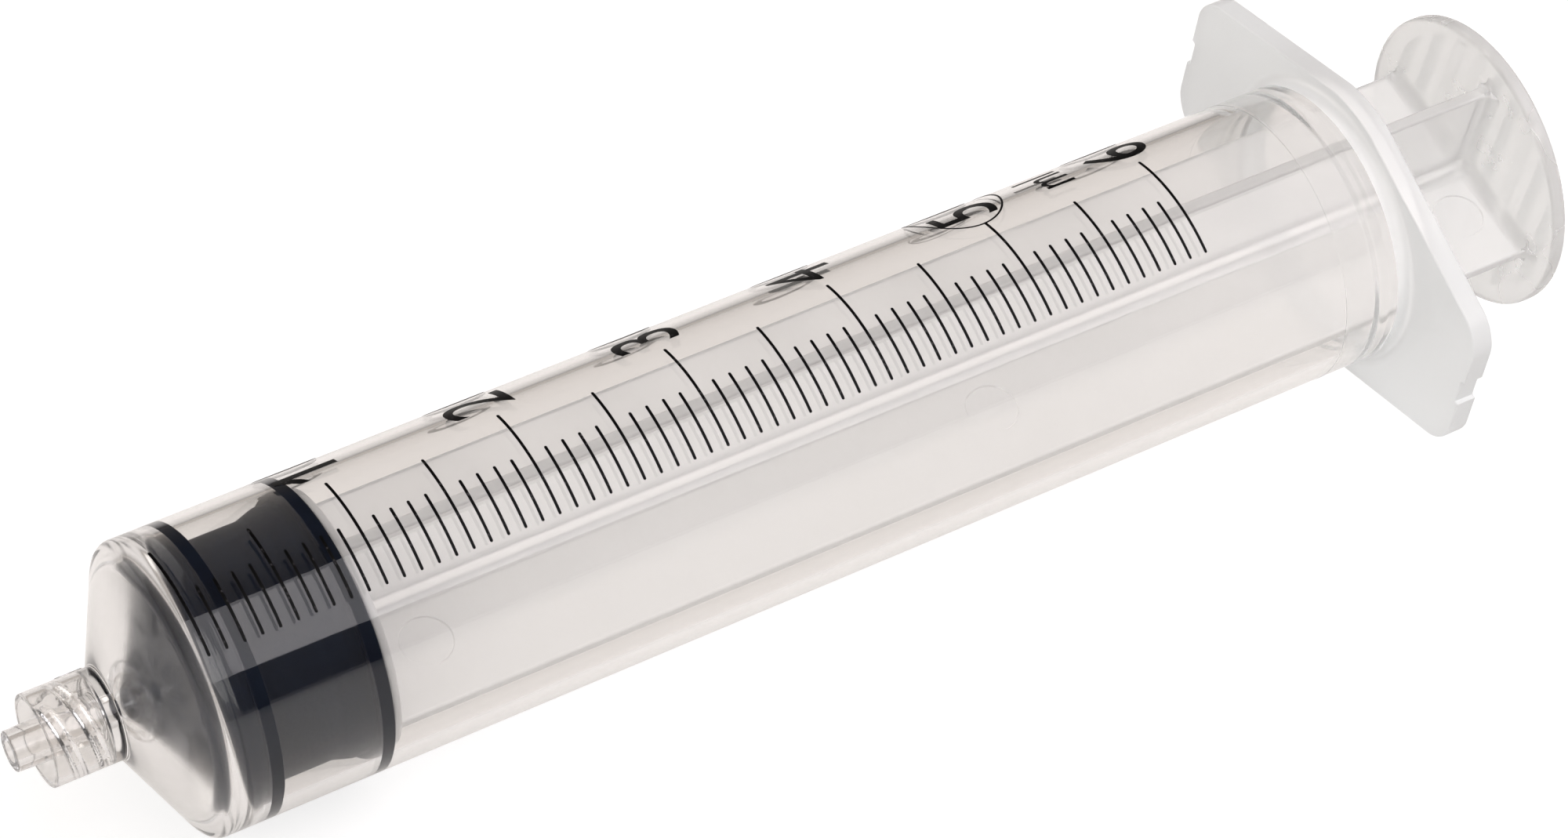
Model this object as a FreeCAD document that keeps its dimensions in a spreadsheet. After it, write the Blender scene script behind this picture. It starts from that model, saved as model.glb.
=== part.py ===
import FreeCAD, Part
import math
import os

import Sketcher

# Luer lock syringe of sixty millilitres, lying with its plunger pushed fully in.
# X runs along the syringe from the end of the luer tip, at X = 0, to the thumb disc.
# The barrel is turned about X so that one slanted side of its flange faces down.

document = FreeCAD.newDocument("luer_lock_syringe")
dim = document.addObject("Spreadsheet::Sheet", "dim")

sizes = [
    # barrel: tube and shoulder
    ("tube_bore", 26.7, "inside diameter of the barrel"),
    ("tube_wall", 1.3, "wall of the barrel"),
    ("zero_mark", 16.65, "from the end of the luer tip to the zero line"),
    ("front_space", 1.7, "from the front corner of the tube to the zero line"),
    ("shoulder_angle", 62.1, "slope of the shoulder from the axis, in degrees"),
    ("inner_angle", 72.0, "slope of the inside of the shoulder from the axis, in degrees"),
    ("inner_setback", 1.45, "from the front corner of the tube to the corner inside it"),
    ("shoulder_round", 1.2, "round of the front corner of the tube"),
    ("scale_length", 107.16, "travel of the stopper over the whole scale"),
    ("tail_length", 21.0, "from the last line of the scale to the flange"),
    ("bead_height", 0.25, "bead that keeps the stopper in"),
    ("bead_width", 1.8, "length of the bead along the bore"),
    ("bead_setback", 1.75, "from the bead to the front face of the flange"),
    ("mouth_bevel", 0.5, "bevel at the open end of the bore"),
    # barrel: luer tip and threaded collar
    ("tip_diameter", 4.0, "luer tip at its end"),
    ("tip_taper", 0.06, "growth of the tip's diameter over its length"),
    ("tip_edge", 0.2, "bevel at the end of the tip"),
    ("lumen", 2.1, "fluid passage through the tip"),
    ("collar_diameter", 9.2, "outside of the collar"),
    ("collar_length", 7.0, "collar in front of the shoulder"),
    ("collar_bore", 8.0, "inside of the collar, at the root of its thread"),
    ("collar_lip", 0.15, "bevel at the mouth of the collar"),
    ("socket_depth", 6.0, "depth of the space between tip and collar"),
    ("thread_depth", 0.5, "height of the thread above its root"),
    ("thread_lead", 5.0, "advance of each start over one turn"),
    ("thread_starts", 2, "number of starts"),
    ("thread_foot", 1.3, "width of the thread at its root"),
    ("thread_crest", 0.5, "width of the thread at its crest"),
    ("thread_setback", 0.35, "from the mouth of the collar to the thread"),
    ("pad_length", 3.0, "raised pad on the collar, along the axis"),
    ("pad_width", 2.4, "raised pad on the collar, across it"),
    ("pad_height", 0.15, "raised pad above the collar"),
    # barrel: finger flange
    ("flange_thickness", 2.3, "finger flange"),
    ("flange_reach", 24.85, "from the axis to either end of the flange"),
    ("flange_side", 16.4, "from the axis to a slanted side"),
    ("flange_slant", 20.15, "slant of the sides, in degrees"),
    ("flange_waist_round", 11.0, "round where two slanted sides meet"),
    ("flange_corner_round", 4.0, "round of the four end corners"),
    ("flange_edge", 0.3, "bevel of the flange's rims"),
    ("flange_flare", 1.2, "widening of the tube where it meets the flange, in two slopes"),
    ("gate_width", 3.2, "nick left by the gate in either end"),
    ("gate_depth", 0.5, "depth of that nick"),
    # stopper
    ("rib_clearance", 0.05, "between a sealing rib and the bore"),
    ("land_recess", 0.85, "front land below the bore"),
    ("waist_recess", 1.45, "waist below the bore"),
    ("land_length", 3.1, "front land"),
    ("rib_width", 1.4, "either sealing rib"),
    ("rib_flank", 0.35, "run of a sealing rib's sloped flank"),
    ("waist_length", 6.2, "waist between the ribs"),
    ("back_taper", 1.8, "slope from the waist to the back land"),
    ("back_land", 1.5, "back land"),
    ("nose_angle", 71.0, "slope of the nose from the axis, in degrees"),
    ("nose_flat", 2.4, "diameter of the flat at the point of the nose"),
    ("pocket_neck", 12.0, "mouth of the pocket that holds the plunger's head"),
    ("pocket_bore", 17.0, "widest part of that pocket"),
    ("pocket_lip", 2.6, "thickness of the lip behind the head"),
    ("pocket_depth", 9.0, "depth of the pocket"),
    # plunger
    ("head_clearance", 0.25, "all round the head in its pocket"),
    ("seat_gap", 0.1, "between the stopper and the plunger's rim"),
    ("head_nose", 6.0, "diameter of the front of the head"),
    ("rim_recess", 0.45, "rim of the plunger below the bore"),
    ("rim_thickness", 0.9, "rim behind the stopper"),
    ("blade_recess", 0.95, "edges of the cross blades below the bore"),
    ("blade_thickness", 1.3, "either blade of the cross"),
    ("blade_edge", 0.25, "bevel of the blades' long edges"),
    ("grip_gap", 15.05, "from the flange to the thumb disc, plunger in"),
    ("disc_diameter", 31.0, "thumb disc"),
    ("disc_thickness", 1.6, "thumb disc"),
    ("disc_edge", 0.35, "bevel of the thumb disc's rims"),
    ("ridge_height", 0.4, "grip ridges on the thumb side"),
    ("ridge_width", 1.3, "width of a grip ridge"),
    ("ridge_pitch", 3.1, "spacing of the grip ridges"),
    ("ridge_count", 9, "number of grip ridges"),
    ("ridge_margin", 1.9, "from the ends of the ridges to the rim"),
    ("root_round", 1.5, "round where the blades meet each other and the disc"),
    ("ejector_diameter", 5.2, "round ejector marks on the side blade"),
    ("ejector_depth", 0.15, "depth of those marks"),
    ("ejector_offset", 6.0, "from the axis to their centres"),
    ("ejector_first", 6.0, "from the rim to the first mark"),
    ("ejector_middle", 68.8, "from the rim to the middle mark"),
    ("ejector_last", 124.8, "from the rim to the last mark"),
    ("plunger_turn", 3.1, "turn of the plunger in the barrel, in degrees"),
]
for row, (alias, value, note) in enumerate(sizes, 1):
    dim.set("A%d" % row, alias)
    dim.set("B%d" % row, str(value))
    dim.set("C%d" % row, note)
    dim.setAlias("B%d" % row, alias)
document.recompute()

# Stations along X and radii, shared by the pieces.
bore = "dim.tube_bore / 2"
outside = "(dim.tube_bore / 2 + dim.tube_wall)"
corner_x = "(dim.zero_mark - dim.front_space)"
collar_base_x = "(%s - (%s - dim.collar_diameter / 2) / tan(dim.shoulder_angle))" % (corner_x, outside)
collar_front_x = "(%s - dim.collar_length)" % collar_base_x
socket_x = "(%s + dim.socket_depth)" % collar_front_x
inner_corner_x = "(%s + dim.inner_setback)" % corner_x
inner_apex_x = "(%s - %s / tan(dim.inner_angle))" % (inner_corner_x, bore)
flange_x = "(dim.zero_mark + dim.scale_length + dim.tail_length)"
flange_back_x = "(%s + dim.flange_thickness)" % flange_x
land_end = "(dim.zero_mark + dim.land_length)"
front_rib_end = "(%s + dim.rib_width)" % land_end
waist_end = "(%s + dim.waist_length)" % front_rib_end
taper_end = "(%s + dim.back_taper)" % waist_end
back_rib_start = "(%s + dim.back_land)" % taper_end
stopper_end = "(%s + dim.rib_width)" % back_rib_start
rim_x = "(%s + dim.seat_gap)" % stopper_end
blade_x = "(%s + dim.rim_thickness)" % rim_x
disc_x = "(%s + dim.grip_gap)" % flange_back_x
disc_back_x = "(%s + dim.disc_thickness)" % disc_x


def originFeature(body, role):
    for feature in body.Origin.OriginFeatures:
        if feature.Role == role:
            return feature


def newSketch(body, name, role, offset=None):
    sketch = body.newObject("Sketcher::SketchObject", name)
    sketch.AttachmentSupport = [(originFeature(body, role), "")]
    sketch.MapMode = "FlatFace"
    if offset:
        sketch.setExpression("AttachmentOffset.Base.z", offset)
    return sketch


def place(sketch, geometry, point, across, along):
    # pins one point of the sketch by its two coordinates
    for kind, value, axis in (("DistanceX", across, -2), ("DistanceY", along, -1)):
        if value == "0":
            sketch.addConstraint(Sketcher.Constraint("PointOnObject", geometry, point, axis))
        else:
            index = sketch.addConstraint(Sketcher.Constraint(kind, -1, 1, geometry, point, 1.0))
            sketch.setExpression("Constraints[%d]" % index, value)


def addOutline(sketch, corners):
    # closed outline of straight lines through the given corners
    first = sketch.GeometryCount
    count = len(corners)
    ring = []
    for index in range(count):
        angle = 2 * math.pi * index / count
        ring.append(FreeCAD.Vector(10 * math.cos(angle), 10 * math.sin(angle), 0))
    for index in range(count):
        line = Part.LineSegment(ring[index], ring[(index + 1) % count])
        sketch.addGeometry(line, False)
    for index in range(count):
        following = first + (index + 1) % count
        sketch.addConstraint(Sketcher.Constraint("Coincident", first + index, 2, following, 1))
    for index, (across, along) in enumerate(corners):
        place(sketch, first + index, 1, across, along)


def addCircle(sketch, across, along, diameter):
    circle = Part.Circle(FreeCAD.Vector(1, 1, 0), FreeCAD.Vector(0, 0, 1), 1)
    index = sketch.addGeometry(circle, False)
    place(sketch, index, 3, across, along)
    constraint = sketch.addConstraint(Sketcher.Constraint("Diameter", index, 2.0))
    sketch.setExpression("Constraints[%d]" % constraint, diameter)


def turnProfile(body, name, corners, kind="Revolution"):
    # half section in the plane of X and Z, turned about X
    sketch = newSketch(body, name + "_section", "XZ_Plane")
    addOutline(sketch, corners)
    turned = body.newObject("PartDesign::" + kind, name)
    turned.Profile = sketch
    turned.ReferenceAxis = (originFeature(body, "X_Axis"), [""])
    turned.Angle = 360
    document.recompute()
    return turned


def padProfile(body, sketch, name, length, kind="Pad", backwards=False):
    feature = body.newObject("PartDesign::" + kind, name)
    feature.Profile = sketch
    feature.setExpression("Length", length)
    feature.Reversed = backwards
    document.recompute()
    return feature


def dress(body, base, name, edges, radius, kind="Fillet"):
    # rounds or bevels edges of the last feature
    feature = body.newObject("PartDesign::" + kind, name)
    feature.Base = (base, edges)
    feature.setExpression("Radius" if kind == "Fillet" else "Size", radius)
    document.recompute()
    return feature


def ringEdges(base, turned, corners):
    # circular edges left by the given corners of a turned half section
    found = []
    for corner in corners:
        spot = turned.Profile[0].Geometry[corner].StartPoint
        for number, edge in enumerate(base.Shape.Edges, 1):
            curve = edge.Curve
            if not isinstance(curve, Part.Circle):
                continue
            if abs(curve.Center.x - spot.x) < 1e-4 and abs(curve.Radius - spot.y) < 1e-4:
                found.append("Edge%d" % number)
    return found


def faceRims(base, station, least):
    # edges in the plane X = station that lie further out than the given radius
    found = []
    for number, edge in enumerate(base.Shape.Edges, 1):
        box = edge.BoundBox
        if box.XLength > 1e-4 or abs(box.XMin - station) > 1e-4:
            continue
        middle = edge.valueAt((edge.FirstParameter + edge.LastParameter) / 2)
        if math.hypot(middle.y, middle.z) > least:
            found.append("Edge%d" % number)
    return found


def longEdges(base, chosen):
    # straight edges along X whose middle passes the test
    found = []
    for number, edge in enumerate(base.Shape.Edges, 1):
        box = edge.BoundBox
        if box.XLength < 1 or box.YLength > 1e-4 or box.ZLength > 1e-4:
            continue
        if chosen(box.Center):
            found.append("Edge%d" % number)
    return found


# Barrel, one moulding: tube, shoulder, luer tip, threaded collar and finger flange.
barrel = document.addObject("PartDesign::Body", "barrel")
barrel.Label = "barrel"
tip_radius_x = "(dim.tip_diameter / 2 + dim.tip_taper / 2 * %s)"
tube = turnProfile(barrel, "tube_and_tip", [
    ("0", "dim.lumen / 2"),
    ("0", "dim.tip_diameter / 2 - dim.tip_edge"),
    ("dim.tip_edge", tip_radius_x % "dim.tip_edge"),
    (socket_x, tip_radius_x % socket_x),
    (socket_x, "dim.collar_bore / 2"),
    (collar_front_x + " + dim.collar_lip", "dim.collar_bore / 2"),
    (collar_front_x, "dim.collar_bore / 2 + dim.collar_lip"),
    (collar_front_x, "dim.collar_diameter / 2"),
    (collar_base_x, "dim.collar_diameter / 2"),
    (corner_x, outside),
    (flange_x + " - dim.flange_flare", outside),
    (flange_x + " - dim.flange_flare * 0.3", outside + " + dim.flange_flare * 0.3"),
    (flange_x, outside + " + dim.flange_flare"),
    (flange_back_x, outside + " + dim.flange_flare"),
    (flange_back_x, bore + " + dim.mouth_bevel"),
    (flange_back_x + " - dim.mouth_bevel", bore),
    (inner_corner_x, bore),
    (inner_apex_x + " + dim.lumen / 2 / tan(dim.inner_angle)", "dim.lumen / 2"),
])
shoulder = dress(barrel, tube, "shoulder_corner", ringEdges(tube, tube, [9]), "dim.shoulder_round")

# The flange is a long hexagon whose slanted sides meet at a rounded waist.
peak = "dim.flange_side / cos(dim.flange_slant)"
end_half = "(dim.flange_side - dim.flange_reach * sin(dim.flange_slant)) / cos(dim.flange_slant)"
flange_sketch = newSketch(barrel, "flange_outline", "YZ_Plane", flange_x)
addOutline(flange_sketch, [
    ("dim.flange_reach", end_half),
    ("0", peak),
    ("-dim.flange_reach", end_half),
    ("-dim.flange_reach", "-" + end_half),
    ("0", "-" + peak),
    ("dim.flange_reach", "-" + end_half),
])
addCircle(flange_sketch, "0", "0", "dim.tube_bore + dim.tube_wall")
flange = padProfile(barrel, flange_sketch, "flange", "dim.flange_thickness")

nick_sketch = newSketch(barrel, "gate_nicks", "YZ_Plane", flange_x)
for side in ("", "-"):
    addOutline(nick_sketch, [
        (side + "(dim.flange_reach - dim.gate_depth)", "-dim.gate_width / 2"),
        (side + "(dim.flange_reach + dim.gate_depth)", "-dim.gate_width / 2"),
        (side + "(dim.flange_reach + dim.gate_depth)", "dim.gate_width / 2"),
        (side + "(dim.flange_reach - dim.gate_depth)", "dim.gate_width / 2"),
    ])
nicks = padProfile(barrel, nick_sketch, "gate_cut", "dim.flange_thickness", "Pocket", True)

reach = dim.get("flange_reach")
waist_edges = longEdges(nicks, lambda spot: abs(spot.y) < 1e-3 and abs(spot.z) > dim.get("tube_bore") / 2)
waist = dress(barrel, nicks, "flange_waist", waist_edges, "dim.flange_waist_round")
corner_edges = longEdges(waist, lambda spot: abs(abs(spot.y) - reach) < 1e-3
                         and abs(spot.z) > dim.get("gate_width") / 2 + 1e-3)
corners = dress(barrel, waist, "flange_corners", corner_edges, "dim.flange_corner_round")

back = dim.get("zero_mark") + dim.get("scale_length") + dim.get("tail_length")
rim_edges = faceRims(corners, back, dim.get("flange_side") - 0.5)
rim_edges += faceRims(corners, back + dim.get("flange_thickness"), dim.get("flange_side") - 0.5)
rims = dress(barrel, corners, "flange_rims", rim_edges, "dim.flange_edge", "Chamfer")

# A low bead inside the mouth stops the stopper from being pulled out.
bead_end = "(%s - dim.bead_setback)" % flange_x
bead = turnProfile(barrel, "retaining_bead", [
    (bead_end + " - dim.bead_width", bore + " + dim.tube_wall / 2"),
    (bead_end + " - dim.bead_width", bore),
    (bead_end + " - dim.bead_width * 0.6", bore + " - dim.bead_height"),
    (bead_end + " - dim.bead_width * 0.4", bore + " - dim.bead_height"),
    (bead_end, bore),
    (bead_end, bore + " + dim.tube_wall / 2"),
])

# A flat pad stands on the collar beside the shoulder.
pad_sketch = newSketch(barrel, "collar_pad_outline", "YZ_Plane", collar_base_x + " + 0.5")
addOutline(pad_sketch, [
    ("dim.collar_bore / 2", "-dim.pad_width / 2"),
    ("dim.collar_diameter / 2 + dim.pad_height", "-dim.pad_width / 2"),
    ("dim.collar_diameter / 2 + dim.pad_height", "dim.pad_width / 2"),
    ("dim.collar_bore / 2", "dim.pad_width / 2"),
])
collar_pad = padProfile(barrel, pad_sketch, "collar_pad", "dim.pad_length + 0.5", backwards=True)

# Two right-hand starts of thread run round the inside of the collar.
thread_foot_radius = "dim.collar_bore / 2 + 0.15"
thread_start = "(%s + dim.thread_setback)" % collar_front_x
crest_inset = "(dim.thread_foot - dim.thread_crest) / 2"
thread_sketch = newSketch(barrel, "thread_section", "XZ_Plane")
addOutline(thread_sketch, [
    (thread_start, thread_foot_radius),
    (thread_start + " + dim.thread_foot", thread_foot_radius),
    (thread_start + " + dim.thread_foot - " + crest_inset, "dim.collar_bore / 2 - dim.thread_depth"),
    (thread_start + " + " + crest_inset, "dim.collar_bore / 2 - dim.thread_depth"),
])
thread = barrel.newObject("PartDesign::AdditiveHelix", "thread_start")
thread.Profile = thread_sketch
thread.ReferenceAxis = (originFeature(barrel, "X_Axis"), [""])
thread.Mode = "pitch-height-angle"
thread.setExpression("Pitch", "dim.thread_lead")
thread.setExpression("Height", "dim.socket_depth - dim.thread_foot - dim.thread_setback * 2")
document.recompute()
thread_pair = barrel.newObject("PartDesign::PolarPattern", "thread_starts")
thread_pair.Originals = [thread]
thread_pair.Axis = (originFeature(barrel, "X_Axis"), [""])
thread_pair.Angle = 360
thread_pair.setExpression("Occurrences", "dim.thread_starts")
barrel.Tip = thread_pair
barrel.Placement = FreeCAD.Placement(FreeCAD.Vector(), FreeCAD.Rotation(FreeCAD.Vector(1, 0, 0), 20))
barrel.setExpression(".Placement.Rotation.Angle", "dim.flange_slant")
document.recompute()

# Stopper, one rubber moulding with two sealing ribs and a pocket for the plunger's head.
stopper = document.addObject("PartDesign::Body", "stopper")
stopper.Label = "stopper"
land = bore + " - dim.land_recess"
waist_radius = bore + " - dim.waist_recess"
seal = bore + " - dim.rib_clearance"
nose_x = "(dim.zero_mark - (%s - dim.nose_flat / 2) / tan(dim.nose_angle))" % ("(" + land + ")")
pocket_front = "(%s - dim.pocket_depth)" % stopper_end
pocket_back = "(%s - dim.pocket_lip)" % stopper_end
rubber = turnProfile(stopper, "stopper_form", [
    (nose_x, "0"),
    (nose_x, "dim.nose_flat / 2"),
    ("dim.zero_mark", land),
    (land_end, land),
    (land_end + " + dim.rib_flank", seal),
    (front_rib_end + " - dim.rib_flank", seal),
    (front_rib_end, waist_radius),
    (waist_end, waist_radius),
    (taper_end, land),
    (back_rib_start, land),
    (back_rib_start + " + dim.rib_flank", seal),
    (stopper_end + " - dim.rib_flank", seal),
    (stopper_end, land),
    (stopper_end, "dim.pocket_neck / 2"),
    (pocket_back, "dim.pocket_neck / 2"),
    (pocket_back, "dim.pocket_bore / 2"),
    (pocket_front + " + dim.pocket_depth / 3", "dim.pocket_bore / 2"),
    (pocket_front, "dim.head_nose / 2 + dim.head_clearance"),
    (pocket_front, "0"),
])
stopper.Tip = rubber

# Plunger, one moulding: head, rim, cross blades and thumb disc.
plunger = document.addObject("PartDesign::Body", "plunger_rod")
plunger.Label = "plunger_rod"
neck = "dim.pocket_neck / 2 - dim.head_clearance"
head = "dim.pocket_bore / 2 - dim.head_clearance"
head_back = "(%s - dim.head_clearance)" % pocket_back
head_front = "(%s + dim.head_clearance)" % pocket_front
spine = turnProfile(plunger, "head_and_rim", [
    (head_front, "0"),
    (head_front, "dim.head_nose / 2"),
    (head_front + " + dim.pocket_depth / 3", head),
    (head_back, head),
    (head_back, neck),
    (rim_x, neck),
    (rim_x, bore + " - dim.rim_recess"),
    (blade_x, bore + " - dim.rim_recess"),
    (blade_x, "0"),
])
edge_reach = "(%s - dim.blade_recess)" % bore
half = "dim.blade_thickness / 2"
cross_sketch = newSketch(plunger, "cross_outline", "YZ_Plane", blade_x)
addOutline(cross_sketch, [
    (half, half),
    (half, edge_reach),
    ("-" + half, edge_reach),
    ("-" + half, half),
    ("-" + edge_reach, half),
    ("-" + edge_reach, "-" + half),
    ("-" + half, "-" + half),
    ("-" + half, "-" + edge_reach),
    (half, "-" + edge_reach),
    (half, "-" + half),
    (edge_reach, "-" + half),
    (edge_reach, half),
])
cross = padProfile(plunger, cross_sketch, "cross_blades", "%s - %s" % (disc_x, blade_x))
blade_reach = dim.get("tube_bore") / 2 - dim.get("blade_recess")
blade_edges = longEdges(cross, lambda spot: math.hypot(spot.y, spot.z) > blade_reach)
blades = dress(plunger, cross, "blade_edges", blade_edges, "dim.blade_edge", "Chamfer")

disc = turnProfile(plunger, "thumb_disc", [
    (disc_x, "0"),
    (disc_x, "dim.disc_diameter / 2"),
    (disc_back_x, "dim.disc_diameter / 2"),
    (disc_back_x, "0"),
])
disc_rims = dress(plunger, disc, "thumb_disc_rims", ringEdges(disc, disc, [1, 2]), "dim.disc_edge", "Chamfer")

# Ridges across the thumb side, trimmed round inside the rim.
ridge_sketch = newSketch(plunger, "ridge_outline", "YZ_Plane", disc_back_x)
ridge_offset = "dim.ridge_pitch * (dim.ridge_count - 1) / 2"
addOutline(ridge_sketch, [
    ("-%s - dim.ridge_width / 2" % ridge_offset, "-dim.disc_diameter / 2"),
    ("-%s + dim.ridge_width / 2" % ridge_offset, "-dim.disc_diameter / 2"),
    ("-%s + dim.ridge_width / 2" % ridge_offset, "dim.disc_diameter / 2"),
    ("-%s - dim.ridge_width / 2" % ridge_offset, "dim.disc_diameter / 2"),
])
ridge = padProfile(plunger, ridge_sketch, "grip_ridge", "dim.ridge_height")
ridges = plunger.newObject("PartDesign::LinearPattern", "grip_ridges")
ridges.Originals = [ridge]
ridges.Direction = (originFeature(plunger, "Y_Axis"), [""])
ridges.setExpression("Length", "dim.ridge_pitch * (dim.ridge_count - 1)")
ridges.setExpression("Occurrences", "dim.ridge_count")
plunger.Tip = ridges
document.recompute()
trim = turnProfile(plunger, "ridge_trim", [
    (disc_back_x, "dim.disc_diameter / 2 - dim.ridge_margin"),
    (disc_back_x + " + dim.ridge_height * 2", "dim.disc_diameter / 2 - dim.ridge_margin"),
    (disc_back_x + " + dim.ridge_height * 2", "dim.disc_diameter"),
    (disc_back_x, "dim.disc_diameter"),
], "Groove")

# The blades are rounded into the thumb disc and into each other.
disc_front = disc.Profile[0].Geometry[1].StartPoint.x
root_edges = longEdges(trim, lambda spot: math.hypot(spot.y, spot.z) < dim.get("blade_thickness"))
for number, edge in enumerate(trim.Shape.Edges, 1):
    box = edge.BoundBox
    on_disc = box.XLength < 1e-4 and abs(box.XMin - disc_front) < 1e-4
    if on_disc and max(box.YLength, box.ZLength) < blade_reach and edge.Length > blade_reach / 2:
        root_edges.append("Edge%d" % number)
roots = dress(plunger, trim, "blade_roots", root_edges, "dim.root_round")

# Round marks left by the ejector pins along one blade.
mark_sketch = newSketch(plunger, "ejector_outline", "XY_Plane", half)
for station in ("dim.ejector_first", "dim.ejector_middle", "dim.ejector_last"):
    addCircle(mark_sketch, blade_x + " + " + station, "-dim.ejector_offset", "dim.ejector_diameter")
marks = padProfile(plunger, mark_sketch, "ejector_marks", "dim.ejector_depth", "Pocket")
plunger.Tip = marks
plunger.Placement = FreeCAD.Placement(FreeCAD.Vector(), FreeCAD.Rotation(FreeCAD.Vector(1, 0, 0), 20))
plunger.setExpression(".Placement.Rotation.Angle", "dim.flange_slant + dim.plunger_turn")
document.recompute()

# Every feature and piece is sound before anything is written.
for item in document.Objects:
    for word in ("Invalid", "Error"):
        if word in item.State:
            raise RuntimeError("%s is %s" % (item.Name, word))
pieces = [barrel, stopper, plunger]
for piece in pieces:
    if piece.Shape.isNull() or not piece.Shape.isValid():
        raise RuntimeError("%s has no valid shape" % piece.Label)
os.makedirs("parts", exist_ok=True)
for piece in pieces:
    piece.Shape.exportStep("parts/%s.step" % piece.Label)
    box = piece.Shape.BoundBox
    print(piece.Label, "volume %.1f" % piece.Shape.Volume, "solids", len(piece.Shape.Solids), box)
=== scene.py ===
import math

import bmesh
import bpy
from mathutils import Matrix, Vector


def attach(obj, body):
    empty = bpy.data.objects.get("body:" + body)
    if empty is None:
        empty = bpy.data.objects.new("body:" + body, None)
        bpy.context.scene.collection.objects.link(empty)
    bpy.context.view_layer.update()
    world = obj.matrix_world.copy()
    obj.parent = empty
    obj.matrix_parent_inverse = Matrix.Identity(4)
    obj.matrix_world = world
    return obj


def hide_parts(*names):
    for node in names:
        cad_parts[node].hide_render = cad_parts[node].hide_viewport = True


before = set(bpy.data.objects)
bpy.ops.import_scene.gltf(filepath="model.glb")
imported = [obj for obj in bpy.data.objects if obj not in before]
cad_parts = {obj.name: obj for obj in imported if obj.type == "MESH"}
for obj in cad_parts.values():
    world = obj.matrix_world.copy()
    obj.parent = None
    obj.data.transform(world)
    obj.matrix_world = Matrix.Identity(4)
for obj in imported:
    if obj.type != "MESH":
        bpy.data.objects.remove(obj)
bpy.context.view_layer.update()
millimetre = 0.001
close = 1e-3  # lengths in a mesh under construction that count as equal
sharpAngle = math.radians(40.0)
leastSlope = 0.3  # a run that rises and advances by more than this counts as sloped
print("frame loaded")


# shared modelling: sections drawn in millimetres in the plane of X and Z, turned about X

def newSection(corners):
    # line of corners (x, radius) or (x, radius, round, segments)
    bm = bmesh.new()
    verts = [bm.verts.new((corner[0], 0, corner[1])) for corner in corners]
    for a, b in zip(verts, verts[1:]):
        bm.edges.new((a, b))
    for vert, corner in zip(verts, corners):
        if len(corner) > 2:
            roundCorner(bm, vert, *corner[2:])
    return bm


def roundCorner(bm, vert, radius, segments):
    # the bevel runs back along both edges by the tangent length of the round
    sides = [(edge.other_vert(vert).co - vert.co).normalized() for edge in vert.link_edges]
    turn = math.pi - sides[0].angle(sides[1])
    bmesh.ops.bevel(bm, geom=[vert], offset=radius * math.tan(turn / 2), offset_type="OFFSET",
                    segments=segments, profile=0.5, affect="VERTICES", material=-1)


def softenEdges(bm, edges, radius, segments):
    bmesh.ops.bevel(bm, geom=edges, offset=radius, offset_type="OFFSET", segments=segments, profile=0.5,
                    affect="EDGES", material=-1, clamp_overlap=True)


def addSupports(bm, gap, longest=1e9, sloped=1e9):
    # points close to the ends of long runs keep the shading of straight walls even,
    # and runs over a length are cut, sloped ones more finely
    for edge in bm.edges[:]:
        length = edge.calc_length()
        if length > gap * 4:
            start = edge.verts[0]
            vert = bmesh.utils.edge_split(edge, start, gap / length)[1]
            rest = next(e for e in vert.link_edges if start not in e.verts)
            bmesh.utils.edge_split(rest, vert, 1 - gap / rest.calc_length())
    for edge in bm.edges[:]:
        run = edge.verts[1].co - edge.verts[0].co
        limit = sloped if min(abs(run.x), abs(run.z)) > leastSlope else longest
        if run.length > limit:
            bmesh.ops.subdivide_edges(bm, edges=[edge], cuts=int(run.length / limit))


def turnSection(bm, steps):
    bmesh.ops.spin(bm, geom=bm.verts[:] + bm.edges[:], cent=(0, 0, 0), axis=(1, 0, 0), dvec=(0, 0, 0),
                   angle=math.tau, steps=steps, use_merge=True, use_duplicate=False)
    bmesh.ops.remove_doubles(bm, verts=bm.verts[:], dist=1e-4)
    bmesh.ops.dissolve_degenerate(bm, edges=bm.edges[:], dist=1e-5)


def pickVerts(made):
    return [g for g in made["geom"] if isinstance(g, bmesh.types.BMVert)]


def pickEdges(made):
    return [g for g in made["geom"] if isinstance(g, bmesh.types.BMEdge)]


def atRadius(bm, radius):
    # edges of a section that run along the axis
    return [e for e in bm.edges if all(abs(vert.co.z - radius) < close for vert in e.verts)]


def inPlane(bm, x):
    # open edges in one plane square to the axis
    return [e for e in bm.edges if len(e.link_faces) < 2
            and all(abs(vert.co.x - x) < 1e-4 for vert in e.verts)]


def fillPlane(bm, edges):
    # flat wall between nested loops
    bmesh.ops.triangle_fill(bm, use_beauty=True, use_dissolve=False, edges=edges)


def absorb(bm, part):
    # moves one mesh under construction into another
    mesh = bpy.data.meshes.new("part")
    part.to_mesh(mesh)
    part.free()
    bm.from_mesh(mesh)
    bpy.data.meshes.remove(mesh)


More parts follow.
